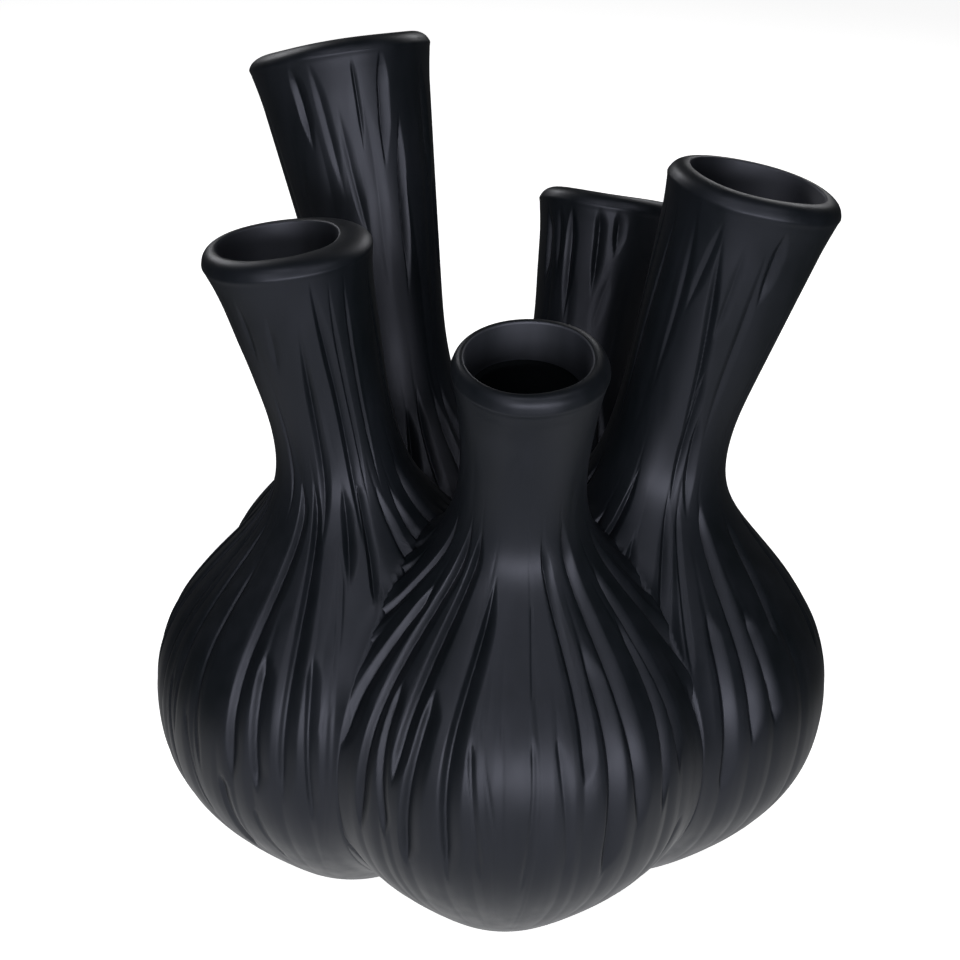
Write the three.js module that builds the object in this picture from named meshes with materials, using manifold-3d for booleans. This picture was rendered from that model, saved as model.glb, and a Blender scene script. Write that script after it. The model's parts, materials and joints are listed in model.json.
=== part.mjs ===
// A free-standing black ceramic vase of five gourds luted into a ring.
// Each gourd is a bulb with a long neck that leans outwards and flares to a rounded mouth.
// The bulbs are cut where they meet, so they share one hollow that holds the water.
// Millimetres, +Z up, front towards -Y, origin under the middle of the bounding box.

import * as THREE from "three";
import { mergeVertices, toCreasedNormals } from "three/addons/utils/BufferGeometryUtils.js";
import Module from "manifold-3d";

const wasm = await Module();
wasm.setup();

// Ring of gourds
const RING_RADIUS = 51.4; // from the middle of the vase to the middle of each foot
const SEAM_GAP = 0.3; // slip joint between two bulbs, and between a bulb and its neck

// Outer form of a gourd, with heights measured along its own centre line
const FOOT_RADIUS = 24;
const BELLY_RADIUS = 68;
const BELLY_HEIGHT = 69.9;
const WAIST_RADIUS = 20.5; // narrowest place, where the neck begins to flare
const SHOULDER_RISE = 99.2; // from the belly up to the waist
const BEND_LENGTH = 124.6; // the centre line bends over this length, from the belly up

// Walls
const BULB_WALL = 6;
const NECK_WALL = 5.2;
const FLOOR_THICKNESS = 7;

// Joint between bulb and neck: the neck's spigot sits inside the bulb's collar
const JOINT_DROP = 18; // from the waist down to the joint
const SPIGOT_LENGTH = 7;

// Mouth of a neck
const LIP_WALL = 7; // wall where it thickens to the lip
const LIP_HEIGHT = 4.7; // from the widest ring up to the mouth's plane
const LIP_LENGTH = 9; // length over which the wall thickens

// Facets
const BULB_SIDES = 36;
const NECK_SIDES = 24; // also the hollow of a bulb, so that spigot and collar match

// Each place is [share of the way up, share of the way out], from foot to belly
const LOWER_FORM = [
  [0.1, 0.216],
  [0.25, 0.472],
  [0.45, 0.755],
  [0.7, 0.955],
];

// The same from belly to waist, where 1 is as far out as the belly
const UPPER_FORM = [
  [0.25, 0.859],
  [0.5, 0.482],
  [0.75, 0.062],
];

// Share of the flare that opens evenly; the rest opens late, by this power
const FLARE_EVEN_SHARE = 0.79;
const FLARE_POWER = 1.44;

// From the waist to the middle of the mouth, and the outer radius of the lip
const NECK_LENGTH = { front: 39.7, right: 81.5, back_right: 50.6, back_left: 103.6, left: 59.6 };
const MOUTH_RADIUS = { front: 24.6, right: 28.9, back_right: 26.6, back_left: 32, left: 27.2 };

// azimuth: place on the ring in degrees, with -90 in front
// lean: tilt of the neck in degrees; turn: how far the lean departs from straight outwards
// level and skew: tilt of the mouth's plane against square to its neck, in degrees
const GOURDS = [
  { name: "front", azimuth: -87.8, lean: 17.5, turn: -5.5, level: 5.1, skew: 2.4 },
  { name: "right", azimuth: -18.8, lean: 14.5, turn: 3.8, level: 3.6, skew: -2.9 },
  { name: "back_right", azimuth: 54, lean: 18, turn: -0.4, level: -1.2, skew: -3 },
  { name: "back_left", azimuth: 122, lean: 15.9, turn: 9.9, level: -1.7, skew: 2.5 },
  { name: "left", azimuth: 200.7, lean: 15, turn: -12.6, level: 6.5, skew: 0.9 },
];

const WAIST_HEIGHT = BELLY_HEIGHT + SHOULDER_RISE;
const JOINT_HEIGHT = WAIST_HEIGHT - JOINT_DROP;

const GLAZE = { color: 0x1d1e22, roughness: 0.46, metalness: 0 };
const UP = new THREE.Vector3(0, 0, 1);

const radians = THREE.MathUtils.degToRad;
const outwards = (degrees) =>
  new THREE.Vector3(Math.cos(radians(degrees)), Math.sin(radians(degrees)), 0);

// Monotone curve through the points of a form, so that it never overshoots between them
function smoothForm(points) {
  const n = points.length;
  const step = points.slice(1).map(([h], i) => h - points[i][0]);
  const rise = points.slice(1).map(([, r], i) => (r - points[i][1]) / step[i]);
  const slope = points.map((_, i) => {
    if (i === 0 || i === n - 1) return i === 0 ? rise[0] : 0;
    if (rise[i - 1] * rise[i] <= 0) return 0;
    const before = 2 * step[i] + step[i - 1];
    const after = step[i] + 2 * step[i - 1];
    return (before + after) / (before / rise[i - 1] + after / rise[i]);
  });
  return (height) => {
    let i = 0;
    while (i < n - 2 && height > points[i + 1][0]) i++;
    const t = (height - points[i][0]) / step[i];
    const s = 1 - t;
    return (
      (1 + 2 * t) * s * s * points[i][1] +
      t * s * s * step[i] * slope[i] +
      t * t * (3 - 2 * t) * points[i + 1][1] -
      t * t * s * step[i] * slope[i + 1]
    );
  };
}

const bulbForm = smoothForm([
  [0, FOOT_RADIUS],
  ...LOWER_FORM.map(([h, r]) => [
    h * BELLY_HEIGHT,
    FOOT_RADIUS + r * (BELLY_RADIUS - FOOT_RADIUS),
  ]),
  [BELLY_HEIGHT, BELLY_RADIUS],
  ...UPPER_FORM.map(([h, r]) => [
    BELLY_HEIGHT + h * SHOULDER_RISE,
    WAIST_RADIUS + r * (BELLY_RADIUS - WAIST_RADIUS),
  ]),
  [WAIST_HEIGHT, WAIST_RADIUS],
]);

const mouthHeight = (gourd) => WAIST_HEIGHT + NECK_LENGTH[gourd.name];

// Outer radius of a gourd at a height along its centre line
function outerRadius(gourd, height) {
  if (height <= WAIST_HEIGHT) return bulbForm(height);
  const share = (height - WAIST_HEIGHT) / NECK_LENGTH[gourd.name];
  const late = (1 - FLARE_EVEN_SHARE) * Math.pow(share, FLARE_POWER);
  const opening = FLARE_EVEN_SHARE * share + late;
  return WAIST_RADIUS + (MOUTH_RADIUS[gourd.name] - WAIST_RADIUS) * opening;
}

// Point of the inner face, square in from the outer face at a height
function innerPoint(height) {
  const slope = (bulbForm(height + 0.1) - bulbForm(height - 0.1)) / 0.2;
  const length = Math.hypot(1, slope);
  const thin = THREE.MathUtils.smoothstep(height, BELLY_HEIGHT, JOINT_HEIGHT);
  const wall = THREE.MathUtils.lerp(BULB_WALL, NECK_WALL, thin);
  return [
    bulbForm(height) - wall / length,
    Math.max(height + (wall * slope) / length, FLOOR_THICKNESS),
  ];
}

// The joint's faces: the neck's bore, and the cylinder between spigot and collar
const JOINT_RADIUS = bulbForm(JOINT_HEIGHT);
const BORE_RADIUS = JOINT_RADIUS - NECK_WALL;
const SPIGOT_RADIUS = (JOINT_RADIUS + BORE_RADIUS - SEAM_GAP) / 2;

// Centre line of a gourd: upright through the bulb, then bent over to the neck's lean
function centreLine(gourd) {
  const lean = radians(gourd.lean);
  const towards = outwards(gourd.azimuth + gourd.turn);
  const aside = new THREE.Vector3().crossVectors(UP, towards);
  const foot = outwards(gourd.azimuth).multiplyScalar(RING_RADIUS);
  const tiltAt = (height) =>
    lean * THREE.MathUtils.smoothstep(height, BELLY_HEIGHT, BELLY_HEIGHT + BEND_LENGTH);

  const pointAt = (height) => {
    const place = foot.clone().addScaledVector(UP, Math.min(height, BELLY_HEIGHT));
    const above = Math.max(0, height - BELLY_HEIGHT);
    const steps = Math.ceil(above);
    for (let i = 0; i < steps; i++) {
      const tilt = tiltAt(BELLY_HEIGHT + ((i + 0.5) * above) / steps);
      place.addScaledVector(towards, (above / steps) * Math.sin(tilt));
      place.addScaledVector(UP, (above / steps) * Math.cos(tilt));
    }
    return place;
  };

  return (height) => {
    const tilt = tiltAt(height);
    const across = towards.clone().multiplyScalar(Math.cos(tilt));
    across.addScaledVector(UP, -Math.sin(tilt));
    const along = towards.clone().multiplyScalar(Math.sin(tilt));
    along.addScaledVector(UP, Math.cos(tilt));
    return { origin: pointAt(height), across, aside, along };
  };
}

// Turns a profile of [radius, height] points round the gourd's centre line.
// The rings tilt gradually from square at the waist to the mouth's own plane.
function turned(gourd, profile, sides) {
  const lathe = new THREE.LatheGeometry(
    profile.map(([radius, height]) => new THREE.Vector2(radius, height)),
    sides,
  );
  const frameAt = centreLine(gourd);
  const frames = new Map();
  const position = lathe.getAttribute("position");
  for (let i = 0; i < position.count; i++) {
    const height = position.getY(i);
    if (!frames.has(height)) frames.set(height, frameAt(height));
    const { origin, across, aside, along } = frames.get(height);
    const out = position.getZ(i);
    const side = position.getX(i);
    const share = Math.max(0, height - WAIST_HEIGHT) / NECK_LENGTH[gourd.name];
    const tilt =
      out * Math.tan(radians(gourd.level)) + side * Math.tan(radians(gourd.skew));
    const at = origin.clone().addScaledVector(across, out);
    at.addScaledVector(aside, side).addScaledVector(along, tilt * share * share);
    position.setXYZ(i, at.x, at.y, at.z);
  }
  return lathe;
}

function solid(geometry) {
  const bare = geometry.clone();
  bare.deleteAttribute("normal");
  bare.deleteAttribute("uv");
  const merged = mergeVertices(bare, 1e-3);
  return new wasm.Manifold(
    new wasm.Mesh({
      numProp: 3,
      vertProperties: merged.getAttribute("position").array,
      triVerts: new Uint32Array(merged.index.array),
    }),
  );
}

function geometryOf(manifold) {
  const mesh = manifold.getMesh();
  const geometry = new THREE.BufferGeometry();
  const positions = new Float32Array(mesh.vertProperties);
  geometry.setAttribute("position", new THREE.BufferAttribute(positions, 3));
  geometry.setIndex(new THREE.BufferAttribute(new Uint32Array(mesh.triVerts), 1));
  return toCreasedNormals(geometry, radians(35));
}

// Evenly spaced heights from one height to another, both included
const heightsBetween = (from, to, count) =>
  Array.from({ length: count + 1 }, (_, i) => from + ((to - from) * i) / count);

// Heights that lie closer together towards the foot, where a bulb curves most
const lowerHeights = (count) =>
  heightsBetween(0, 1, count).map((share) => BELLY_HEIGHT * Math.pow(share, 1.6));

function bulbOutside(gourd) {
  const upper = heightsBetween(BELLY_HEIGHT, JOINT_HEIGHT, 7).slice(1);
  const heights = [...lowerHeights(6), ...upper];
  const profile = heights.map((h) => [bulbForm(h), h]);
  return turned(gourd, [[0, 0], ...profile, [0, JOINT_HEIGHT]], BULB_SIDES);
}

// The hollow of a bulb, with the collar's seat for the spigot and a way out at the top
function bulbInside(gourd) {
  const seat = JOINT_HEIGHT - SPIGOT_LENGTH;
  const seatRadius = SPIGOT_RADIUS + SEAM_GAP;
  const top = JOINT_HEIGHT + SEAM_GAP;
  const upper = heightsBetween(BELLY_HEIGHT, seat, 6).slice(1);
  const wall = [...lowerHeights(5), ...upper]
    .map(innerPoint)
    .filter(([, height]) => height < seat - SEAM_GAP);
  const profile = [
    [0, FLOOR_THICKNESS],
    ...wall,
    [BORE_RADIUS, seat],
    [seatRadius, seat],
    [seatRadius, top],
    [0, top],
  ];
  return turned(gourd, profile, NECK_SIDES);
}

// The wedge of space that one gourd keeps: out to the planes half way to its two neighbours
function wedge(before, after) {
  const reach = 3 * (RING_RADIUS + BELLY_RADIUS);
  const half = radians(after - before) / 2;
  const apex = SEAM_GAP / 2 / Math.sin(half);
  const far = reach * Math.tan(half);
  const shape = new THREE.Shape([
    new THREE.Vector2(apex, 0),
    new THREE.Vector2(apex + reach, -far),
    new THREE.Vector2(apex + reach, far),
  ]);
  const prism = new THREE.ExtrudeGeometry(shape, {
    depth: 2 * WAIST_HEIGHT,
    bevelEnabled: false,
  });
  prism.rotateZ(radians((before + after) / 2));
  prism.translate(0, 0, -WAIST_HEIGHT / 2);
  return solid(prism);
}

function bulb(gourd, before, after) {
  return solid(bulbOutside(gourd))
    .subtract(solid(bulbInside(gourd)))
    .intersect(wedge(before, after));
}

// A flared tube from the spigot up to the rounded lip
function neck(gourd) {
  const top = mouthHeight(gourd);
  const start = JOINT_HEIGHT + SEAM_GAP;
  const lipOut = MOUTH_RADIUS[gourd.name];
  const lipIn = lipOut - LIP_WALL;
  const spigotFoot = JOINT_HEIGHT - SPIGOT_LENGTH + SEAM_GAP;
  const outside = heightsBetween(start, top - LIP_LENGTH, 6);
  const inside = heightsBetween(top - LIP_LENGTH, start, 4);
  const profile = [
    [SPIGOT_RADIUS, start],
    ...outside.map((h) => [outerRadius(gourd, h), h]),
    [lipOut, top - LIP_HEIGHT],
    [lipOut - 0.16 * LIP_WALL, top - 0.34 * LIP_HEIGHT],
    [lipOut - 0.42 * LIP_WALL, top - 0.06 * LIP_HEIGHT],
    [lipIn + 0.22 * LIP_WALL, top],
    [lipIn, top - 0.25 * LIP_HEIGHT],
    ...inside.map((h) => [outerRadius(gourd, h) - NECK_WALL, h]),
    [BORE_RADIUS, spigotFoot],
    [SPIGOT_RADIUS, spigotFoot],
    [SPIGOT_RADIUS, start],
  ];
  return solid(turned(gourd, profile, NECK_SIDES));
}

function addPiece(group, name, manifold) {
  const material = new THREE.MeshStandardMaterial(GLAZE);
  const mesh = new THREE.Mesh(geometryOf(manifold), material);
  mesh.name = name;
  group.add(mesh);
}

const ring = new THREE.Group();
GOURDS.forEach((gourd, i) => {
  const last = GOURDS.length - 1;
  const previous = i === 0 ? GOURDS[last].azimuth - 360 : GOURDS[i - 1].azimuth;
  const next = i === last ? GOURDS[0].azimuth + 360 : GOURDS[i + 1].azimuth;
  const before = (previous + gourd.azimuth) / 2;
  const after = (gourd.azimuth + next) / 2;
  addPiece(ring, "bulb_" + gourd.name, bulb(gourd, before, after));
  addPiece(ring, "neck_" + gourd.name, neck(gourd));
});

// The middle of the bounding box goes over the origin
const middle = new THREE.Box3().setFromObject(ring).getCenter(new THREE.Vector3());
ring.position.set(-middle.x, -middle.y, 0);

const vase = new THREE.Group();
vase.add(ring);

export default vase;
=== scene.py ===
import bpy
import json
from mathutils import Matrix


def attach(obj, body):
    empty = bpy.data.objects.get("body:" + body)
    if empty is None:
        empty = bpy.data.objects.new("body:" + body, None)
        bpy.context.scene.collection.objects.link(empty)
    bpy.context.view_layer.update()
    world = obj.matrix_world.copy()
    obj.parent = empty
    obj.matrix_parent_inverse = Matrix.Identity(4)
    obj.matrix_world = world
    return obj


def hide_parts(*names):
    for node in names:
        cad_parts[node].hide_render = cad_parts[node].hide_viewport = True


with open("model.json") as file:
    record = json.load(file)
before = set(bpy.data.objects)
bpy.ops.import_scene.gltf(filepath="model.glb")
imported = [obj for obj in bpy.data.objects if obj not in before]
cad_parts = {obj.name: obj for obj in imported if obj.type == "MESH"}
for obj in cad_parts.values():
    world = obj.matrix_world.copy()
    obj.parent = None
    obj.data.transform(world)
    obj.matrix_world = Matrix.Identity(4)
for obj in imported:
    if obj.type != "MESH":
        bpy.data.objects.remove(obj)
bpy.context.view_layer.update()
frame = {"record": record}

import json
import math

import bmesh
import bpy
import numpy as np
from mathutils import Matrix, Vector

# A black ceramic vase of five ribbed gourds in a ring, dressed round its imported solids.
# Heights, radii and places are in millimetres where nothing else is said; the meshes are
# written in metres.
MM = 0.001

# Form of a gourd, as in the solids
RING_RADIUS = 51.4
FOOT_RADIUS = 24
BELLY_RADIUS = 68
BELLY_HEIGHT = 69.9
WAIST_RADIUS = 20.5
WAIST_HEIGHT = BELLY_HEIGHT + 99.2
JOINT_HEIGHT = WAIST_HEIGHT - 18
BEND_LENGTH = 124.6
LOWER_FORM = [(0.1, 0.216), (0.25, 0.472), (0.45, 0.755), (0.7, 0.955)]
UPPER_FORM = [(0.25, 0.859), (0.5, 0.482), (0.75, 0.062)]
FLARE_EVEN_SHARE = 0.79
FLARE_POWER = 1.44
BULB_WALL = 6
NECK_WALL = 5.2
FLOOR_THICKNESS = 7

# Each gourd, as in the solids: its place round the ring, its lean, the turn of its lean away
# from straight out, the length of its neck, the radius of its mouth, and the two tilts of
# the mouth. Then the width of the rim from its widest ring to the opening's edge, and how
# far and in which direction the opening lies off the middle of the mouth. Angles in degrees
GOURD_SIZES = {
    "front": dict(
        azimuth=-87.8, lean=17.5, turn=-5.5, neck=39.7, mouth=24.6,
        level=5.1, skew=2.4, rim=5.0, offset=(0.9, -99),
    ),
    "right": dict(
        azimuth=-18.8, lean=14.5, turn=3.8, neck=81.5, mouth=28.9,
        level=3.6, skew=-2.9, rim=6.6, offset=(0.2, 180),
    ),
    "back_right": dict(
        azimuth=54, lean=18, turn=-0.4, neck=50.6, mouth=26.6,
        level=-1.2, skew=-3, rim=6.6, offset=(0, 0),
    ),
    "back_left": dict(
        azimuth=122, lean=15.9, turn=9.9, neck=103.6, mouth=32,
        level=-1.7, skew=2.5, rim=9.0, offset=(1.5, -133),
    ),
    "left": dict(
        azimuth=200.7, lean=15, turn=-12.6, neck=59.6, mouth=27.2,
        level=6.5, skew=0.9, rim=8.2, offset=(2.0, -5),
    ),
}

# Lip: it rounds over from its widest ring up to a crisp inner edge, stays thick down to a
# ledge inside, and a fine bead runs round its widest ring
LIP_DROP = 4.8
LIP_EDGE = 0.8
LIP_DEPTH = 14
LEDGE_LENGTH = 2.5
LIP_SWELL = 14
BEAD_RISE = 0.22
BEAD_HALF_WIDTH = 0.9

# Foot: a narrow ring stands on the table round a slightly hollow underside. The slope from
# the hollow to the ring passes a middle point, given as shares of its width and its height
FOOT_RING = (19.5, 22.5)
FOOT_RECESS = 0.9
FOOT_SLOPE = 2.0
FOOT_SLOPE_MIDDLE = (0.4, 0.35)
FOOT_ROUND_HEIGHT = 1.8

# The skin is kept this far inside the solids' round form, whose facets cut its corners
SKIN_INSET = 0.3

# Length over which the form's curvature is evened out, so that highlights run smoothly, how
# many such lengths the evening looks to each side, and the step of the tables up a gourd
EVENING = 10
EVENING_REACH = 3
HEIGHT_STEP = 0.25

# The tables go on this far above a gourd's top
TABLE_MARGIN = 2

# Half the step over which a slope of the form is measured
SLOPE_STEP = 0.1

# Least length that a normal is divided by, and how close to a cutting plane, in metres, a
# point counts as lying on it
LEAST_LENGTH = 1e-12
PLANE_TOLERANCE = 1e-7

# Spacing of the skin's rows up the gourd, and its columns round it; a neck has fewer
ROW_STEP = 1.8
INNER_ROW_STEP = 5.0
FINE_ROW_STEP = 0.5
FINE_ROWS_LENGTH = 6
LIP_ROWS = 16
EDGE_ROWS = 6
COLUMNS = 900
NECK_COLUMN_STEP = 2

# Radius of the innermost ring of the underside and of the floor, which stays open, the width
# of the floor's corner, and the height down to which the inside's rows are laid out before
# the floor cuts them off
INNERMOST_RING = 0.4
FLOOR_CORNER = 2
INNER_ROWS_END = 2

# Slow waves of the hand-finished surface: their height, how many there are, how many turns
# each makes round the gourd, its change up the gourd in radians a millimetre, and the heights
# between which they set in above the foot
WAVE_HEIGHT = 0.45
WAVE_COUNT = 7
WAVE_TURNS = (2, 8)
WAVE_RATE = (0.015, 0.05)
WAVE_START = (3, 16)

# How far the rims are out of true, with how many lobes, and between which depths below the
# top it sets in
RIM_OVAL = 0.22
RIM_OVAL_LOBES = 2
RIM_RISE_LOBES = 3
RIM_UNEVEN = 0.07
RIM_UNEVEN_LOBES = 5
RIM_FADE = (22, 2)

# Depth below the top at which the carving and the waves start to run out towards the lip
CARVING_END = 12

# Crease between two bulbs: how far out the fillet of slip reaches, and the overlap behind it
CREASE_REACH = 5.0
CREASE_OVERLAP = 2.0

# Rounds of the search for the place on a centre line that is nearest to a point
NEAREST_ROUNDS = 3

# Carving: depth and half width of each kind of groove where the bulb is widest, and how
# lopsided it is, from 0 for an even hollow to 1 for a steep cut on its clockwise side
KINDS = {
    "deep": (2.5, 4.6, 1.0),
    "cut": (1.9, 3.8, 1.0),
    "line": (1.0, 2.3, 0.7),
    "hair": (0.55, 1.6, 0.5),
    "fold": (1.9, 5.4, 0.6),
    "faint": (0.7, 4.5, 0.4),
    "seam": (0.16, 1.4, 0.0),
}

# Section of a groove: how round its bottom is, how much a fully lopsided one is narrower
# on its clockwise side and wider on the other, and how its walls bend, from the bend of an
# even one to how much each side of a fully lopsided one is straighter
GROOVE_BOTTOM = 0.2
CLOCKWISE_NARROWER = 0.6
OTHER_WIDER = 0.35
WALL_BEND = 1.7
CLOCKWISE_STRAIGHTER = 0.6
OTHER_STRAIGHTER = 0.2

# A groove narrows with the gourd's radius by this power, and keeps this share of its width
# at its ends
NARROWING = 0.6
END_WIDTH = 0.3

# A groove carries on past both of its listed ends by these shares of its length
GROOVE_RUN_UP = 0.06
GROOVE_RUN_DOWN = 0.12

# Share of a groove's length over which each end runs out
BULB_ENDS = (0.16, 0.2)
LONG_ENDS = (0.35, 0.4)

# A groove wanders sideways by between these two lengths, in a wave that takes this height
# for one radian, and its depth is multiplied by between these two shares
WANDER = (0.3, 0.8)
WANDER_HEIGHT = 14
STRENGTH = (0.85, 1.1)

# Angle in radians to each side of a groove within which columns are looked at
GROOVE_SIDES = 0.35

# A shallow flute carries on from each groove, up towards the neck and down to the foot
BULB_FLUTE = (0.5, 4.2, 0.3)
FLUTE_FOOT = 10
FLUTE_RISE = 14

# Grooves that the photograph shows: kind, place round the gourd at the upper and the
# lower end in degrees from its lean, and the heights of the two ends
BULB_GROOVES = {
    "front": [
        ("deep", -49, -47, 150, 58), ("deep", -37, -36, 150, 80), ("cut", -43, -38, 106, 58),
        ("deep", -31, -31, 106, 50), ("deep", -20, -20, 136, 50), ("line", -15, -10, 96, 50),
        ("hair", -12, -5, 104, 56), ("hair", -7, -4, 106, 56), ("hair", 6, 4, 134, 108),
        ("line", 3, 2, 98, 44), ("line", 11, 13, 98, 50), ("cut", 17, 18, 150, 84),
        ("deep", 26, 25, 120, 50), ("deep", 34, 34, 154, 66), ("cut", 50, 43, 122, 68),
        ("cut", 57, 50, 136, 78), ("line", -60, -53, 48, 22), ("line", 55, 49, 56, 26),
    ],
    "left": [
        ("line", 2, 6, 144, 66), ("line", 14, 17, 136, 64), ("line", 24, 31, 126, 60),
        ("deep", 43, 43, 150, 62), ("deep", 49, 52, 102, 60), ("deep", 57, 60, 150, 60),
        ("cut", 65, 68, 104, 52), ("hair", 76, 70, 128, 74), ("hair", 73, 69, 118, 80),
        ("cut", 94, 88, 149, 120), ("line", 12, 16, 84, 42), ("line", 23, 29, 76, 36),
        ("cut", 38, 39, 58, 24), ("line", 50, 52, 50, 22), ("hair", 8, 12, 120, 60),
    ],
    "right": [
        ("line", -70, -66, 143, 100), ("deep", -48, -48, 142, 75), ("cut", -58, -57, 114, 58),
        ("cut", -40, -39, 112, 78), ("cut", -22, -29, 136, 104), ("cut", 7, -7, 132, 92),
    ],
    "back_left": [],
    "back_right": [],
}

# The same on the necks
NECK_GROOVES = {
    "front": [("seam", 4, 4, 200, 20)],
    "left": [
        ("fold", 96, 90, 222, 134), ("line", 146, 166, 222, 142), ("line", 120, 112, 222, 150),
        ("line", 108, 98, 220, 146), ("faint", 56, 50, 211, 193), ("fold", 78, 60, 206, 134),
        ("faint", 34, 34, 216, 196), ("fold", 82, 78, 150, 124), ("line", 40, 30, 190, 140),
    ],
    "right": [
        ("fold", -63, -61, 242, 218), ("faint", -84, -85, 236, 200), ("faint", -106, -110, 240, 210),
        ("fold", -70, -61, 176, 143), ("fold", -82, -74, 196, 146), ("line", -158, -182, 240, 160),
        ("line", -143, -152, 240, 162), ("fold", -102, -74, 234, 162), ("faint", -72, -56, 236, 170),
        ("faint", -124, -118, 240, 180),
    ],
    "back_left": [
        ("fold", 104, 107, 268, 240), ("faint", 115, 124, 268, 224), ("line", 143, 142, 268, 236),
        ("deep", 162, 157, 268, 232), ("deep", 173, 160, 244, 190), ("fold", -163, -156, 261, 221),
        ("fold", -152, -149, 222, 190), ("faint", 130, 134, 250, 205),
    ],
    "back_right": [
        ("fold", 175, 178, 214, 176), ("fold", -166, -157, 218, 186), ("fold", -149, -145, 216, 200),
        ("fold", 146, 149, 212, 186), ("faint", 160, 164, 214, 190),
    ],
}

# Stretch round each bulb that the lists above already fill, in degrees
TRACED = {
    "front": (-54, 62),
    "left": (-4, 98),
    "right": (-76, 8),
    "back_left": (0, 0),
    "back_right": (0, 0),
}

# Grooves invented for the rest of each bulb: their spacing, how far each one strays and how
# far it slants, in degrees; the heights between which the upper and the lower end of a long
# and of a short one lie; and the share of deep ones
INVENTED_STEP = 7.2
INVENTED_STRAY = 1.4
INVENTED_SLANT = 3
INVENTED_LONG = ((128, 152), (54, 84))
INVENTED_SHORT = ((94, 118), (44, 62))
INVENTED_DEEP_SHARE = 0.4

# Long shallow flutes of each neck that the photograph only hints at: how many, how deep
NECK_FLUTES = {
    "front": (6, 0.12), "left": (9, 0.28), "right": (9, 0.25),
    "back_left": (13, 0.42), "back_right": (12, 0.42),
}

# Their half width, how far each strays as a share of their spacing, how far it slants in
# degrees, how far below the top it ends, and the lowest and highest start, the highest as a
# share of the neck above the waist
NECK_FLUTE_HALF_WIDTH = 7.0
NECK_FLUTE_STRAY = 0.3
NECK_FLUTE_SLANT = 8
NECK_FLUTE_END = (12, 30)
NECK_FLUTE_LOWEST = 140
NECK_FLUTE_HIGHEST_SHARE = 0.3

# Seed of the first gourd's random draws; each next gourd has the next one
FIRST_SEED = 20

# Places of the finishes in the list of materials; the bore's finish is painted shade
SATIN, MOUTH, BORE = range(3)

# Glaze: darkest and palest tone, tint of its shine, and the scale and detail of its clouds,
# streaks and grain. The streaks are drawn out upwards, and the grain's height is in metres
GLAZE_TONES = ((0.0016, 0.0026, 0.0034), (0.0036, 0.0046, 0.0064))
GLAZE_TINT = (0.80, 0.82, 1.0)
CLOUDS = (24, 4)
STREAKS = (160, 3)
STREAK_STRETCH = 0.12
GRAIN = (2600, 2)
GRAIN_STRENGTH = 0.12
GRAIN_HEIGHT = 0.00015
GLAZE_IOR = 1.5

# Stretch of the clouds and streaks together over which the tone changes, the stretch of the
# streaks over which the roughness changes, and by how much
TONE_RANGE = (0.7, 1.3)
ROUGHNESS_RANGE = (0.3, 0.7)
ROUGHNESS_SPREAD = 0.08

# Share of the shine and greatest roughness of the satin glaze and of the mouths' glaze
SATIN_GLAZE = (0.3, 0.48)
MOUTH_GLAZE = (0.9, 0.62)

# Darker, duller black below the ledge inside: painted shade where the near rim's shadow falls into
# the bore
BORE_SHADE_TONES = ((0.0008, 0.0016, 0.0024), (0.0020, 0.0030, 0.0042))
BORE_MOTTLE = (90, 4)
BORE_SHINE = 0.08
BORE_ROUGHNESS = 0.7

# Light, in metres, degrees and watts. Each soft box has its degrees round the vase from
# straight in front, its degrees above the table, and its power
LIGHT_DISTANCE = 1.3
LIGHT_AIM = (0, 0, 0.14)
SOFT_BOX_SIZE = (0.45, 0.3)
SOFT_BOXES = {
    "soft_low_left": (-22, 4, 6.0),
    "soft_low_middle": (2, 6, 5.8),
    "soft_low_right": (22, 3, 5.8),
    "soft_left": (-38, 30, 2.4),
    "soft_middle": (10, 34, 0.9),
    "soft_high_left": (-30, 60, 2.6),
    "soft_high_right": (35, 55, 2.0),
    "soft_behind_left": (-150, 30, 3.2),
    "soft_behind_right": (150, 30, 2.2),
}
SURROUNDINGS = 0.025

# Floor and pool of light, in metres: the pool's middle, the distances between which its glow
# falls off, and the glow at both
FLOOR_REACH = 5.0
FLOOR_DROP = 0.0002
FLOOR_TONE = 0.9
FLOOR_GLOW = 0.85
FLOOR_ROUGHNESS = 0.9
FLOOR_SHINE = 0.2
POOL_REACH = 1.5
POOL_CENTRE = (-0.03, -0.14)
POOL_EDGE = (0.1, 0.42)
POOL_GLOW = (1.0, 0.05)
DISC_CORNERS = 96

# Camera, fitted to the photograph; turned round the vase from straight in front
CAMERA_AZIMUTH = -6.36
CAMERA_ELEVATION = 23.24
CAMERA_ROLL = 2.3
CAMERA_DISTANCE = 763.2
CAMERA_LENS = 83.3
SENSOR_WIDTH = 36.0
CLIP_START = 10
AIM_HEIGHT = 133.07
AIM_ASIDE = -5.14

UP = np.array([0.0, 0.0, 1.0])


def smoothstep(value, start, end):
    share = np.clip((value - start) / (end - start), 0, 1)
    return share * share * (3 - 2 * share)


def outwards(degrees):
    """Level direction at an angle round the ring."""
    way = math.radians(degrees)
    return np.array([math.cos(way), math.sin(way), 0.0])


def smooth_form(points):
    """Monotone curve through the points of a form, the same one that the solids have."""
    heights, radii = (np.array(column, float) for column in zip(*points))
    step = np.diff(heights)
    rise = np.diff(radii) / step
    slope = np.zeros(len(heights))
    slope[0] = rise[0]
    for i in range(1, len(rise)):
        if rise[i - 1] * rise[i] > 0:
            before = 2 * step[i] + step[i - 1]
            after = step[i] + 2 * step[i - 1]
            slope[i] = (before + after) / (before / rise[i - 1] + after / rise[i])

    def form(height):
        i = np.clip(np.searchsorted(heights, height, side="right") - 1, 0, len(step) - 1)
        t = (height - heights[i]) / step[i]
        s = 1 - t
        lower = (1 + 2 * t) * s * s * radii[i] + t * s * s * step[i] * slope[i]
        upper = t * t * (3 - 2 * t) * radii[i + 1] - t * t * s * step[i] * slope[i + 1]
        return lower + upper

    return form


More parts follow.
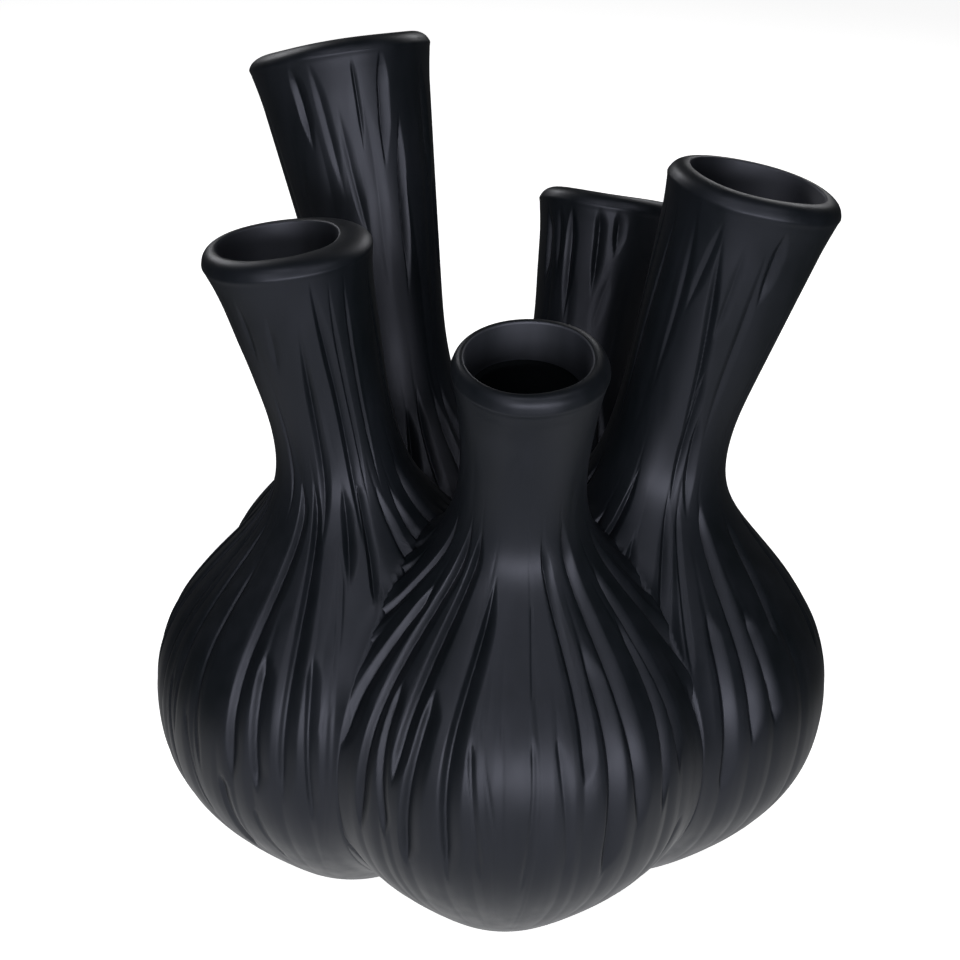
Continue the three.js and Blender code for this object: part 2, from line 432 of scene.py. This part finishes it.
bulb_form = smooth_form(
    [(0, FOOT_RADIUS)]
    + [
        (h * BELLY_HEIGHT, FOOT_RADIUS + r * (BELLY_RADIUS - FOOT_RADIUS))
        for h, r in LOWER_FORM
    ]
    + [(BELLY_HEIGHT, BELLY_RADIUS)]
    + [
        (
            BELLY_HEIGHT + h * (WAIST_HEIGHT - BELLY_HEIGHT),
            WAIST_RADIUS + r * (BELLY_RADIUS - WAIST_RADIUS),
        )
        for h, r in UPPER_FORM
    ]
    + [(WAIST_HEIGHT, WAIST_RADIUS)]
)


def form_slope(height):
    rise = bulb_form(height + SLOPE_STEP) - bulb_form(height - SLOPE_STEP)
    return rise / (2 * SLOPE_STEP)


def evened(radii):
    """A curve of radii with its curvature evened out and its broad form kept."""
    reach = round(EVENING_REACH * EVENING / HEIGHT_STEP)
    window = np.exp(-0.5 * (np.arange(-reach, reach + 1) * HEIGHT_STEP / EVENING) ** 2)
    window /= window.sum()

    def blurred(values):
        padded = np.pad(values, reach, mode="reflect", reflect_type="odd")
        return np.convolve(padded, window, "valid")

    once = blurred(radii)
    return 2 * once - blurred(once)


class Gourd:
    """One bulb with its neck: its place, its lean and the frame along its centre line."""

    def __init__(self, name, azimuth, lean, turn, neck, mouth, level, skew, rim, offset):
        self.name = name
        self.azimuth = azimuth
        self.neck = neck
        self.mouth = mouth
        self.rim = rim
        self.level = math.tan(math.radians(level))
        self.skew = math.tan(math.radians(skew))
        self.offset = offset
        self.top = WAIST_HEIGHT + neck

        foot = next(m for m in frame["record"]["mounts"] if m["name"] == "foot_" + name)
        self.foot = np.array(foot["pos_m"]) / MM
        self.towards = outwards(azimuth + turn)
        self.aside = np.cross(UP, self.towards)

        self.heights = np.arange(0, self.top + TABLE_MARGIN, HEIGHT_STEP)
        self.tilts = math.radians(lean) * smoothstep(
            self.heights, BELLY_HEIGHT, BELLY_HEIGHT + BEND_LENGTH
        )
        middle = (self.tilts[1:] + self.tilts[:-1]) / 2
        step = np.diff(self.heights)
        self.out = np.concatenate([[0], np.cumsum(step * np.sin(middle))])
        self.up = np.concatenate([[0], np.cumsum(step * np.cos(middle))])
        self.radii = evened(self.plain_radius(self.heights))

    def frames(self, height):
        """Origin and axes (across, aside, along) at heights along the centre line."""
        tilt = np.interp(height, self.heights, self.tilts)[..., None]
        out = np.interp(height, self.heights, self.out)[..., None]
        up = np.interp(height, self.heights, self.up)[..., None]
        origin = self.foot + self.towards * out + UP * up
        across = self.towards * np.cos(tilt) - UP * np.sin(tilt)
        along = self.towards * np.sin(tilt) + UP * np.cos(tilt)
        return origin, across, along

    def plain_radius(self, height):
        """Outer radius of the solids' form."""
        share = np.clip((height - WAIST_HEIGHT) / self.neck, 0, None)
        widening = FLARE_EVEN_SHARE * share + (1 - FLARE_EVEN_SHARE) * share**FLARE_POWER
        flare = WAIST_RADIUS + (self.mouth - WAIST_RADIUS) * widening
        return np.where(height <= WAIST_HEIGHT, bulb_form(height), flare)

    def outer_radius(self, height):
        """Radius of the skin's form, before anything is carved into it."""
        return np.interp(height, self.heights, self.radii) - SKIN_INSET

    def place(self, radius, height, angle):
        """Points at radii, heights and angles round the centre line."""
        origin, across, along = self.frames(height)
        share = np.clip(height - WAIST_HEIGHT, 0, None) / self.neck
        out = radius * np.cos(angle)
        side = radius * np.sin(angle)
        rise = (out * self.level + side * self.skew) * share * share
        points = origin + across * out[..., None] + self.aside * side[..., None]
        return points + along * rise[..., None]


def rows_between(start, end, step):
    """Evenly spaced values from start up or down to end, both included."""
    return np.linspace(start, end, max(2, round(abs(end - start) / step) + 1))


def bulb_outer_profile(gourd):
    """Radius and height of the rows from the middle of the underside up to the joint."""
    ring_in, ring_out = FOOT_RING
    across, down = FOOT_SLOPE_MIDDLE
    rows = [
        (INNERMOST_RING, FOOT_RECESS),
        (ring_in / 2, FOOT_RECESS),
        (ring_in - FOOT_SLOPE, FOOT_RECESS),
        (ring_in - across * FOOT_SLOPE, down * FOOT_RECESS),
        (ring_in, 0),
        (ring_out, 0),
    ]
    corner = FOOT_RADIUS - SKIN_INSET
    wall = float(gourd.outer_radius(np.array(FOOT_ROUND_HEIGHT)))
    for t in (0.25, 0.5, 0.75):
        radius = (1 - t) ** 2 * ring_out + 2 * t * (1 - t) * corner + t * t * wall
        rows.append((radius, t * t * FOOT_ROUND_HEIGHT))
    heights = rows_between(FOOT_ROUND_HEIGHT, JOINT_HEIGHT, ROW_STEP)
    side = np.stack([gourd.outer_radius(heights), heights], 1)
    return np.concatenate([rows, side])


def bulb_inner_profile():
    """Rows down the inside from the joint to the middle of the floor."""
    heights = rows_between(JOINT_HEIGHT, INNER_ROWS_END, INNER_ROW_STEP)
    slope = form_slope(heights)
    length = np.sqrt(1 + slope * slope)
    thin = smoothstep(heights, BELLY_HEIGHT, JOINT_HEIGHT)
    wall = BULB_WALL + (NECK_WALL - BULB_WALL) * thin
    radii = bulb_form(heights) - wall / length
    inner = heights + wall * slope / length
    radii[0] = joint_bore()
    inner[0] = JOINT_HEIGHT
    keep = (inner > FLOOR_THICKNESS) & (inner <= JOINT_HEIGHT)
    rows = np.stack([radii[keep], inner[keep]], 1)
    edge = rows[-1, 0]
    floor = [
        (edge - FLOOR_CORNER, FLOOR_THICKNESS),
        (edge / 2, FLOOR_THICKNESS),
        (INNERMOST_RING, FLOOR_THICKNESS),
    ]
    return np.concatenate([rows, floor])


def joint_bore():
    return float(bulb_form(np.array(JOINT_HEIGHT))) - NECK_WALL


def neck_rows(radii, heights, share):
    """Rows of a neck: radius, height and share of the opening's offset."""
    return np.stack(np.broadcast_arrays(radii, heights, share), 1)


def neck_outside(gourd, shoulder, widest):
    """Rows from the joint up to the lip's widest ring."""
    heights = np.concatenate([
        rows_between(JOINT_HEIGHT, shoulder - FINE_ROWS_LENGTH, ROW_STEP),
        rows_between(shoulder - FINE_ROWS_LENGTH, shoulder, FINE_ROW_STEP)[1:],
    ])
    radii = gourd.outer_radius(heights)
    radii += (widest - radii[-1]) * smoothstep(heights, shoulder - LIP_SWELL, shoulder)
    radii += BEAD_RISE * np.exp(-(((heights - shoulder) / BEAD_HALF_WIDTH) ** 2))
    return neck_rows(radii, heights, 0)


def lip(top, shoulder, widest, crown):
    """Rows over the lip from its widest ring to its crown, and round the crisp inner edge."""
    turn = np.radians(np.linspace(0, 90, LIP_ROWS))[1:]
    rise = LIP_DROP * np.sin(turn)
    bead = BEAD_RISE * np.exp(-((rise / BEAD_HALF_WIDTH) ** 2))
    radii = crown + (widest - crown) * np.cos(turn) + bead
    over = neck_rows(radii, shoulder + rise, 1 - np.cos(turn))

    turn = np.radians(np.linspace(90, 0, EDGE_ROWS))[1:]
    radii = crown - LIP_EDGE * np.cos(turn)
    edge = neck_rows(radii, top - LIP_EDGE * (1 - np.sin(turn)), 1)
    return np.concatenate([over, edge])


def neck_inside(gourd, top, opening):
    """Rows from the inner edge down the mouth's wall, over the ledge and on to the joint."""
    heights = rows_between(top - LIP_EDGE, top - LIP_DEPTH, ROW_STEP)[1:]
    radii = opening + gourd.outer_radius(heights) - gourd.outer_radius(top)
    wall = neck_rows(radii, heights, 1)

    ledge = top - LIP_DEPTH - LEDGE_LENGTH
    heights = np.concatenate([
        rows_between(top - LIP_DEPTH, ledge, FINE_ROW_STEP)[1:],
        rows_between(ledge, JOINT_HEIGHT, INNER_ROW_STEP)[1:],
    ])
    plain = gourd.outer_radius(heights) + SKIN_INSET - NECK_WALL
    share = smoothstep(heights, ledge, top - LIP_DEPTH)
    bore = neck_rows(plain + (radii[-1] - plain) * share, heights, share)
    bore[-1, 0] = joint_bore()
    return np.concatenate([wall, bore])


def neck_profile(gourd):
    """Rows from the joint up the outside, over the lip and down the inside to the joint."""
    top = gourd.top - SKIN_INSET
    shoulder = top - LIP_DROP
    widest = gourd.mouth - SKIN_INSET
    opening = gourd.mouth - gourd.rim
    return np.concatenate([
        neck_outside(gourd, shoulder, widest),
        lip(top, shoulder, widest, opening + LIP_EDGE),
        neck_inside(gourd, top, opening),
    ])


def distance_to(gourd, points):
    """How far points lie outside another gourd's outer face; negative inside it."""
    height = points[..., 2].copy()
    for _ in range(NEAREST_ROUNDS):
        origin, across, along = gourd.frames(height)
        height = np.clip(height + ((points - origin) * along).sum(-1), 0, JOINT_HEIGHT)
    origin, across, along = gourd.frames(height)
    radius = np.linalg.norm(points - origin, axis=-1)
    slope = form_slope(height)
    return (radius - gourd.outer_radius(height)) / np.sqrt(1 + slope * slope)


def crease_fillet(points, neighbours):
    """Outward rise that rounds the crease between a bulb and its neighbours."""
    rise = np.zeros(points.shape[:2])
    for other in neighbours:
        near = np.clip(1 - np.abs(distance_to(other, points)) / CREASE_REACH, 0, 1)
        rise = np.maximum(rise, near * near * CREASE_REACH / 4)
    return rise


def wrapped(angle):
    return (angle + math.pi) % (2 * math.pi) - math.pi


def carve(grid, groove, kind, ends, rng):
    """Cuts one groove into the grid of depths; where two cross, the deeper one stays."""
    depths, angles, heights, radii = grid
    depth, half_width, lopsided = kind
    place_top, place_bottom, top, bottom = groove
    length = top - bottom
    top += GROOVE_RUN_UP * length
    bottom -= GROOVE_RUN_DOWN * length
    middle = math.radians(place_top + place_bottom) / 2
    spread = abs(math.radians(place_top - place_bottom)) / 2 + GROOVE_SIDES
    columns = np.nonzero(np.abs(wrapped(angles - middle)) < spread)[0]
    rows = np.nonzero((heights > bottom) & (heights < top))[0]

    wander = rng.uniform(*WANDER)
    phase = rng.uniform(0, 2 * math.pi)
    strength = rng.uniform(*STRENGTH)
    share = (top - heights[rows]) / (top - bottom)
    place = np.radians(place_top + (place_bottom - place_top) * share)
    place += wander * np.sin(heights[rows] / WANDER_HEIGHT + phase) / radii[rows]
    taper = smoothstep(share, 0, ends[0]) * smoothstep(1 - share, 0, ends[1])
    width = half_width * (radii[rows] / BELLY_RADIUS) ** NARROWING
    width *= END_WIDTH + (1 - END_WIDTH) * taper

    sideways = wrapped(angles[columns][None, :] - place[:, None]) * radii[rows][:, None]
    clockwise = sideways < 0
    reach = width[:, None] * np.where(
        clockwise, 1 - CLOCKWISE_NARROWER * lopsided, 1 + OTHER_WIDER * lopsided
    )
    straighter = np.where(clockwise, CLOCKWISE_STRAIGHTER, OTHER_STRAIGHTER)
    off = np.sqrt(sideways**2 + GROOVE_BOTTOM**2) / reach
    shape = np.clip(1 - off, 0, 1) ** (WALL_BEND - straighter * lopsided)
    cut = depth * strength * taper[:, None] * shape
    region = np.ix_(rows, columns)
    depths[region] = np.maximum(depths[region], cut)


def invented_bulb_grooves(rng, traced):
    """Grooves for the stretch of a bulb that the photograph doesn't show."""
    start, end = traced[1], traced[0] + 360
    count = round((end - start) / INVENTED_STEP)
    places = np.linspace(start, end, count + 1)[:-1] + INVENTED_STEP / 2
    grooves = []
    for i, place in enumerate(places):
        upper, lower = INVENTED_LONG if i % 2 else INVENTED_SHORT
        place += rng.uniform(-INVENTED_STRAY, INVENTED_STRAY)
        top = rng.uniform(*upper)
        bottom = rng.uniform(*lower)
        kind = "deep" if rng.uniform() < INVENTED_DEEP_SHARE else "cut"
        slant = rng.uniform(-INVENTED_SLANT, INVENTED_SLANT)
        grooves.append((kind, place, place + slant, top, bottom))
    return grooves


def neck_flutes(gourd, count, rng):
    """Long shallow flutes spread round the neck, as place and height of both ends."""
    highest = WAIST_HEIGHT + NECK_FLUTE_HIGHEST_SHARE * gourd.neck
    flutes = []
    for i in range(count):
        stray = rng.uniform(-NECK_FLUTE_STRAY, NECK_FLUTE_STRAY)
        place = (i + stray) * 360 / count
        top = gourd.top - rng.uniform(*NECK_FLUTE_END)
        bottom = rng.uniform(NECK_FLUTE_LOWEST, highest)
        slant = rng.uniform(-NECK_FLUTE_SLANT, NECK_FLUTE_SLANT)
        flutes.append((place, place + slant, top, bottom))
    return flutes


def carving(gourd, angles, heights, radii, rng):
    """Depth of all the carving of one gourd's outside, over rows and columns."""
    depths = np.zeros((len(heights), len(angles)))
    grid = (depths, angles, heights, radii)
    invented = invented_bulb_grooves(rng, TRACED[gourd.name])
    for kind, *groove in BULB_GROOVES[gourd.name] + invented:
        carve(grid, groove, KINDS[kind], BULB_ENDS, rng)
        place_top, place_bottom, top, _ = groove
        flute = (place_top, place_bottom, top + FLUTE_RISE, FLUTE_FOOT)
        carve(grid, flute, BULB_FLUTE, LONG_ENDS, rng)
    for kind, *groove in NECK_GROOVES[gourd.name]:
        carve(grid, groove, KINDS[kind], LONG_ENDS, rng)
    count, depth = NECK_FLUTES[gourd.name]
    for flute in neck_flutes(gourd, count, rng):
        carve(grid, flute, (depth, NECK_FLUTE_HALF_WIDTH, 0), LONG_ENDS, rng)
    return depths


def undulation(angles, heights, rng):
    """Slow waves of the hand-finished surface."""
    waves = np.zeros((len(heights), len(angles)))
    for _ in range(WAVE_COUNT):
        turns = rng.integers(*WAVE_TURNS)
        rate = rng.uniform(*WAVE_RATE) * rng.choice([-1, 1])
        phase = rng.uniform(0, 2 * math.pi)
        waves += np.sin(turns * angles[None, :] + rate * heights[:, None] + phase)
    return waves * WAVE_HEIGHT / WAVE_COUNT


def grid_normals(points):
    """Normals of a grid of points whose columns go round; rows run up the outside."""
    down = np.gradient(points, axis=0)
    around = np.roll(points, -1, axis=1) - np.roll(points, 1, axis=1)
    normals = np.cross(around, down)
    return normals / np.maximum(np.linalg.norm(normals, axis=-1, keepdims=True), LEAST_LENGTH)


def grid_faces(rows, columns, close_rows):
    """Quads of a grid whose columns go round, and whose rows may close on themselves."""
    count = rows if close_rows else rows - 1
    row = np.arange(count)[:, None]
    column = np.arange(columns)[None, :]
    after = (row + 1) % rows
    beside = (column + 1) % columns
    quads = np.stack(
        [row * columns + column, row * columns + beside,
         after * columns + beside, after * columns + column], -1,
    )
    return quads.reshape(-1, 4)


def plain_skin(gourd, profile, offset_share, angles, rng):
    """Points of the skin before it is carved, with an opening and a rim not quite true."""
    radii = np.repeat(profile[:, :1], len(angles), 1)
    heights = np.repeat(profile[:, 1:], len(angles), 1)
    angle = np.repeat(angles[None, :], len(profile), 0)

    distance, way = gourd.offset
    radii += offset_share[:, None] * distance * np.cos(angle - math.radians(way))
    near_mouth = smoothstep(heights, gourd.top - RIM_FADE[0], gourd.top - RIM_FADE[1])
    oval, uneven, rise, _ = rng.uniform(0, 2 * math.pi, 4)
    radii += near_mouth * RIM_OVAL * np.sin(RIM_OVAL_LOBES * angle + oval)
    radii += near_mouth * RIM_UNEVEN * np.sin(RIM_UNEVEN_LOBES * angle + uneven)
    heights += near_mouth * RIM_OVAL * np.sin(RIM_RISE_LOBES * angle + rise)
    return gourd.place(radii, heights, angle)


def outward_moves(gourd, neighbours, profile, points, angles, rng):
    """How far the outer points move out: waves and crease fillets, less the carving."""
    radii, heights = profile.T
    carved = carving(gourd, angles, heights, radii, rng)
    waves = undulation(angles, heights, rng)
    steady = smoothstep(heights, *WAVE_START)
    below_lip = 1 - smoothstep(heights, gourd.top - CARVING_END, gourd.top - LIP_DROP)
    move = (waves - WAVE_HEIGHT / 2) * steady[:, None] - carved
    move *= below_lip[:, None]
    bulb = heights < JOINT_HEIGHT
    move[bulb] += crease_fillet(points[bulb], neighbours)
    return move


def skin_of(gourd, neighbours, angles, rng):
    """All the rows of a gourd as one grid, with normals and each row's finish.

    The joint is the last row of the bulb's outside, the bore the last of the neck's inside.
    """
    bulb = bulb_outer_profile(gourd)
    neck = neck_profile(gourd)[1:]
    inside = bulb_inner_profile()[1:]
    joint = len(bulb) - 1
    crown = joint + int(np.argmax(neck[:, 1])) + 1
    bore = joint + len(neck)
    profile = np.concatenate([bulb, neck[:, :2], inside])
    offset_share = np.zeros(len(profile))
    offset_share[joint + 1 : bore + 1] = neck[:, 2]

    points = plain_skin(gourd, profile, offset_share, angles, rng)
    normals = grid_normals(points)
    outer = slice(0, crown + 1)
    move = outward_moves(gourd, neighbours, profile[outer], points[outer], angles, rng)
    points[outer] += normals[outer] * move[..., None]

    # Below the ledge the inside takes the darker bore finish, painted shade of the near rim's shadow
    below_ledge = profile[:, 1] < gourd.top - SKIN_INSET - LIP_DEPTH
    finish = np.where(below_ledge, BORE, MOUTH)
    finish[outer] = SATIN
    return points, grid_normals(points), joint, bore, finish


def mesh_from(name, points, normals, close_rows, finish):
    """Mesh of a grid in millimetres that carries its normals through a later cut."""
    rows, columns = points.shape[:2]
    faces = grid_faces(rows, columns, close_rows)
    mesh = bpy.data.meshes.new(name)
    mesh.from_pydata((points.reshape(-1, 3) * MM).tolist(), [], faces.tolist())
    slots = np.repeat(finish, columns)[: len(faces)].astype(np.int32)
    mesh.polygons.foreach_set("material_index", slots)
    attribute = mesh.attributes.new("skin_normal", "FLOAT_VECTOR", "POINT")
    attribute.data.foreach_set("vector", normals.astype(np.float32).ravel())
    return mesh


def cut_by_planes(mesh, planes):
    """Drops what lies beyond each plane, given as a point in millimetres and a normal."""
    work = bmesh.new()
    work.from_mesh(mesh)
    for point, normal in planes:
        bmesh.ops.bisect_plane(
            work,
            geom=work.verts[:] + work.edges[:] + work.faces[:],
            dist=PLANE_TOLERANCE,
            plane_co=Vector(point) * MM,
            plane_no=Vector(normal),
            clear_outer=True,
        )
    work.to_mesh(mesh)
    work.free()


def seam_planes(gourd, gourds, overlap):
    """The planes half way to the two neighbours, each moved out by the overlap."""
    index = gourds.index(gourd)
    centre = ring_centre(gourds)
    planes = []
    for side in (-1, 1):
        other = gourds[(index + side) % len(gourds)]
        turn = (other.azimuth - gourd.azimuth + 180) % 360 - 180
        normal = outwards(gourd.azimuth + turn / 2 + math.copysign(90, turn))
        planes.append((centre + normal * overlap, normal))
    return planes


def ring_centre(gourds):
    return gourds[0].foot - RING_RADIUS * outwards(gourds[0].azimuth)


def add_object(name, data):
    item = bpy.data.objects.new(name, data)
    bpy.context.scene.collection.objects.link(item)
    return item


def finished_piece(name, meshes, materials):
    """One object from the given meshes, smooth, with the carried normals."""
    points, faces, normals, slots = [], [], [], []
    for mesh in meshes:
        first = len(points)
        points += [tuple(vertex.co) for vertex in mesh.vertices]
        faces += [tuple(first + i for i in polygon.vertices) for polygon in mesh.polygons]
        normals += [tuple(item.vector) for item in mesh.attributes["skin_normal"].data]
        slots += [polygon.material_index for polygon in mesh.polygons]
        bpy.data.meshes.remove(mesh)
    joined = bpy.data.meshes.new(name)
    joined.from_pydata(points, [], faces)
    joined.polygons.foreach_set("use_smooth", np.ones(len(faces), bool))
    joined.polygons.foreach_set("material_index", slots)
    unit = np.array(normals)
    unit /= np.maximum(np.linalg.norm(unit, axis=1, keepdims=True), LEAST_LENGTH)
    joined.normals_split_custom_set_from_vertices(unit.tolist())
    for material in materials:
        joined.materials.append(material)
    return add_object(name, joined)


def build_gourd(gourd, gourds, materials, seed):
    """The visual bulb and neck of one gourd, in place of the two solids."""
    rng = np.random.default_rng(seed)
    angles = np.arange(COLUMNS) * 2 * math.pi / COLUMNS
    index = gourds.index(gourd)
    neighbours = [gourds[index - 1], gourds[(index + 1) % len(gourds)]]
    points, normals, joint, bore, finish = skin_of(gourd, neighbours, angles, rng)

    def part_of_skin(name, rows, close_rows=False, column_step=1):
        return mesh_from(
            name, points[rows, ::column_step], normals[rows, ::column_step],
            close_rows, finish[rows],
        )

    outer = part_of_skin("outer", np.r_[0 : joint + 1, bore])
    cut_by_planes(outer, seam_planes(gourd, gourds, CREASE_OVERLAP))
    inner = part_of_skin("inner", np.arange(bore, len(points)))
    cut_by_planes(inner, seam_planes(gourd, gourds, 0))
    bulb = finished_piece("vase_bulb_" + gourd.name, [outer, inner], materials)
    tube = part_of_skin("tube", np.arange(joint, bore + 1), True, NECK_COLUMN_STEP)
    neck = finished_piece("vase_neck_" + gourd.name, [tube], materials)

    for piece, node in ((bulb, "bulb_"), (neck, "neck_")):
        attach(piece, "root")
        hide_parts(node + gourd.name)


def new_material(name):
    """A material, with its nodes, its links and its shader."""
    material = bpy.data.materials.new(name)
    material.use_nodes = True
    nodes = material.node_tree.nodes
    return material, nodes, material.node_tree.links, nodes["Principled BSDF"]


def set_inputs(node, values):
    for name, value in values.items():
        node.inputs[name].default_value = value


def noise(nodes, links, vector, scale, detail):
    texture = nodes.new("ShaderNodeTexNoise")
    set_inputs(texture, {"Scale": scale, "Detail": detail})
    links.new(vector, texture.inputs["Vector"])
    return texture.outputs["Fac"]


def mapped(nodes, links, value, source, result, way="LINEAR"):
    """Value moved from the source's range to the result's, and kept inside that."""
    node = nodes.new("ShaderNodeMapRange")
    node.interpolation_type = way
    set_inputs(node, {"From Min": source[0], "From Max": source[1]})
    set_inputs(node, {"To Min": result[0], "To Max": result[1]})
    links.new(value, node.inputs["Value"])
    return node.outputs["Result"]


def mixed_tone(nodes, links, factor, tones):
    """Colour between the darker and the paler tone."""
    colour = nodes.new("ShaderNodeMix")
    colour.data_type = "RGBA"
    set_inputs(colour, {"A": (*tones[0], 1), "B": (*tones[1], 1)})
    links.new(factor, colour.inputs["Factor"])
    return colour.outputs["Result"]


def glaze_material(name, shine, roughest):
    """Satin near-black glaze with faint clouds, vertical streaks and a fine grain."""
    material, nodes, links, shader = new_material(name)
    set_inputs(shader, {"Specular IOR Level": shine, "Specular Tint": (*GLAZE_TINT, 1)})
    set_inputs(shader, {"IOR": GLAZE_IOR})

    place = nodes.new("ShaderNodeTexCoord").outputs["Object"]
    stretch = nodes.new("ShaderNodeMapping")
    set_inputs(stretch, {"Scale": (1, 1, STREAK_STRETCH)})
    links.new(place, stretch.inputs["Vector"])
    clouds = noise(nodes, links, place, *CLOUDS)
    streaks = noise(nodes, links, stretch.outputs["Vector"], *STREAKS)
    grain = noise(nodes, links, place, *GRAIN)

    both = nodes.new("ShaderNodeMath")
    both.operation = "ADD"
    links.new(clouds, both.inputs[0])
    links.new(streaks, both.inputs[1])
    tone = mapped(nodes, links, both.outputs[0], TONE_RANGE, (0, 1))
    colour = mixed_tone(nodes, links, tone, GLAZE_TONES)
    links.new(colour, shader.inputs["Base Color"])

    spread = (roughest - ROUGHNESS_SPREAD, roughest)
    roughness = mapped(nodes, links, streaks, ROUGHNESS_RANGE, spread)
    links.new(roughness, shader.inputs["Roughness"])

    bump = nodes.new("ShaderNodeBump")
    set_inputs(bump, {"Strength": GRAIN_STRENGTH, "Distance": GRAIN_HEIGHT})
    links.new(grain, bump.inputs["Height"])
    links.new(bump.outputs["Normal"], shader.inputs["Normal"])
    return material


def bore_shade_material():
    """Darker, duller black of the inside below the ledge: painted shade of the near rim's shadow."""
    material, nodes, links, shader = new_material("bore_black_painted_shade")
    set_inputs(shader, {"Specular IOR Level": BORE_SHINE, "Roughness": BORE_ROUGHNESS})
    place = nodes.new("ShaderNodeTexCoord").outputs["Object"]
    mottle = noise(nodes, links, place, *BORE_MOTTLE)
    colour = mixed_tone(nodes, links, mottle, BORE_SHADE_TONES)
    links.new(colour, shader.inputs["Base Color"])
    return material


def disc(name, radius, height):
    """Flat round sheet on the table."""
    turns = np.arange(DISC_CORNERS) * 2 * math.pi / DISC_CORNERS
    rim = [(radius * math.cos(turn), radius * math.sin(turn), height) for turn in turns]
    mesh = bpy.data.meshes.new(name)
    mesh.from_pydata(rim, [], [tuple(range(DISC_CORNERS))])
    return add_object(name, mesh)


def make_reflector():
    """Pool of light on the table that only the glaze mirrors, brightest close to the vase."""
    reflector = disc("reflector", POOL_REACH, 0)
    reflector.location = (*POOL_CENTRE, 0)
    reflector.visible_camera = False
    reflector.visible_diffuse = False
    reflector.visible_shadow = False

    material, nodes, links, _ = new_material("pool_of_light")
    nodes.clear()
    place = nodes.new("ShaderNodeTexCoord")
    distance = nodes.new("ShaderNodeVectorMath")
    distance.operation = "LENGTH"
    links.new(place.outputs["Object"], distance.inputs[0])
    fall = mapped(nodes, links, distance.outputs["Value"], POOL_EDGE, POOL_GLOW, "SMOOTHSTEP")
    glow = nodes.new("ShaderNodeEmission")
    links.new(fall, glow.inputs["Strength"])
    output = nodes.new("ShaderNodeOutputMaterial")
    links.new(glow.outputs["Emission"], output.inputs["Surface"])
    reflector.data.materials.append(material)


def make_floor():
    """Plain pale floor that fills the view and gives off some light of its own."""
    floor = disc("floor", FLOOR_REACH, -FLOOR_DROP)
    floor.visible_glossy = False
    material, _, _, shader = new_material("pale_floor")
    set_inputs(shader, {"Base Color": (FLOOR_TONE, FLOOR_TONE, FLOOR_TONE, 1)})
    set_inputs(shader, {"Emission Color": (1, 1, 1, 1), "Emission Strength": FLOOR_GLOW})
    set_inputs(shader, {"Roughness": FLOOR_ROUGHNESS, "Specular IOR Level": FLOOR_SHINE})
    floor.data.materials.append(material)


def way_from_vase(around, above):
    """Direction at degrees round the vase from straight in front and above the table."""
    around, above = math.radians(around), math.radians(above)
    return Vector((
        math.sin(around) * math.cos(above),
        -math.cos(around) * math.cos(above),
        math.sin(above),
    ))


def make_light():
    """Soft boxes round the vase, most of them in front and low, in a dim room."""
    world = bpy.data.worlds.new("dim_room")
    world.use_nodes = True
    background = world.node_tree.nodes["Background"]
    set_inputs(background, {"Color": (1, 1, 1, 1), "Strength": SURROUNDINGS})
    bpy.context.scene.world = world
    for name, (around, above, power) in SOFT_BOXES.items():
        light = bpy.data.lights.new(name, "AREA")
        light.shape = "RECTANGLE"
        light.size, light.size_y = SOFT_BOX_SIZE
        light.energy = power
        lamp = add_object(name, light)
        lamp.visible_camera = False
        way = way_from_vase(around, above)
        lamp.location = Vector(LIGHT_AIM) + LIGHT_DISTANCE * way
        lamp.rotation_euler = (-way).to_track_quat("-Z", "Y").to_euler()


def make_camera(centre):
    """Camera of the photograph, aimed beside the ring's centre and above it."""
    azimuth = math.radians(CAMERA_AZIMUTH)
    roll = math.radians(CAMERA_ROLL)
    back = way_from_vase(CAMERA_AZIMUTH, CAMERA_ELEVATION)
    right = Vector((math.cos(azimuth), math.sin(azimuth), 0))
    up = back.cross(right)
    rolled_right = right * math.cos(roll) + up * math.sin(roll)
    rolled_up = up * math.cos(roll) - right * math.sin(roll)
    target = Vector(centre) + Vector((0, 0, AIM_HEIGHT)) + AIM_ASIDE * right
    place = (target + back * CAMERA_DISTANCE) * MM

    data = bpy.data.cameras.new("photo_camera")
    data.sensor_width = SENSOR_WIDTH
    data.lens = CAMERA_LENS
    data.clip_start = CLIP_START * MM
    camera = add_object("photo_camera", data)
    turn = Matrix((rolled_right, rolled_up, back)).transposed()
    camera.matrix_world = Matrix.Translation(place) @ turn.to_4x4()
    bpy.context.scene.camera = camera


members = [Gourd(name, **sizes) for name, sizes in GOURD_SIZES.items()]
finishes = [
    glaze_material("glaze_black_satin", *SATIN_GLAZE),
    glaze_material("glaze_black_mouth", *MOUTH_GLAZE),
    bore_shade_material(),
]
for number, member in enumerate(members):
    build_gourd(member, members, finishes, seed=FIRST_SEED + number)
make_floor()
make_reflector()
make_light()
make_camera(ring_centre(members))
bpy.context.scene.view_settings.view_transform = "Standard"
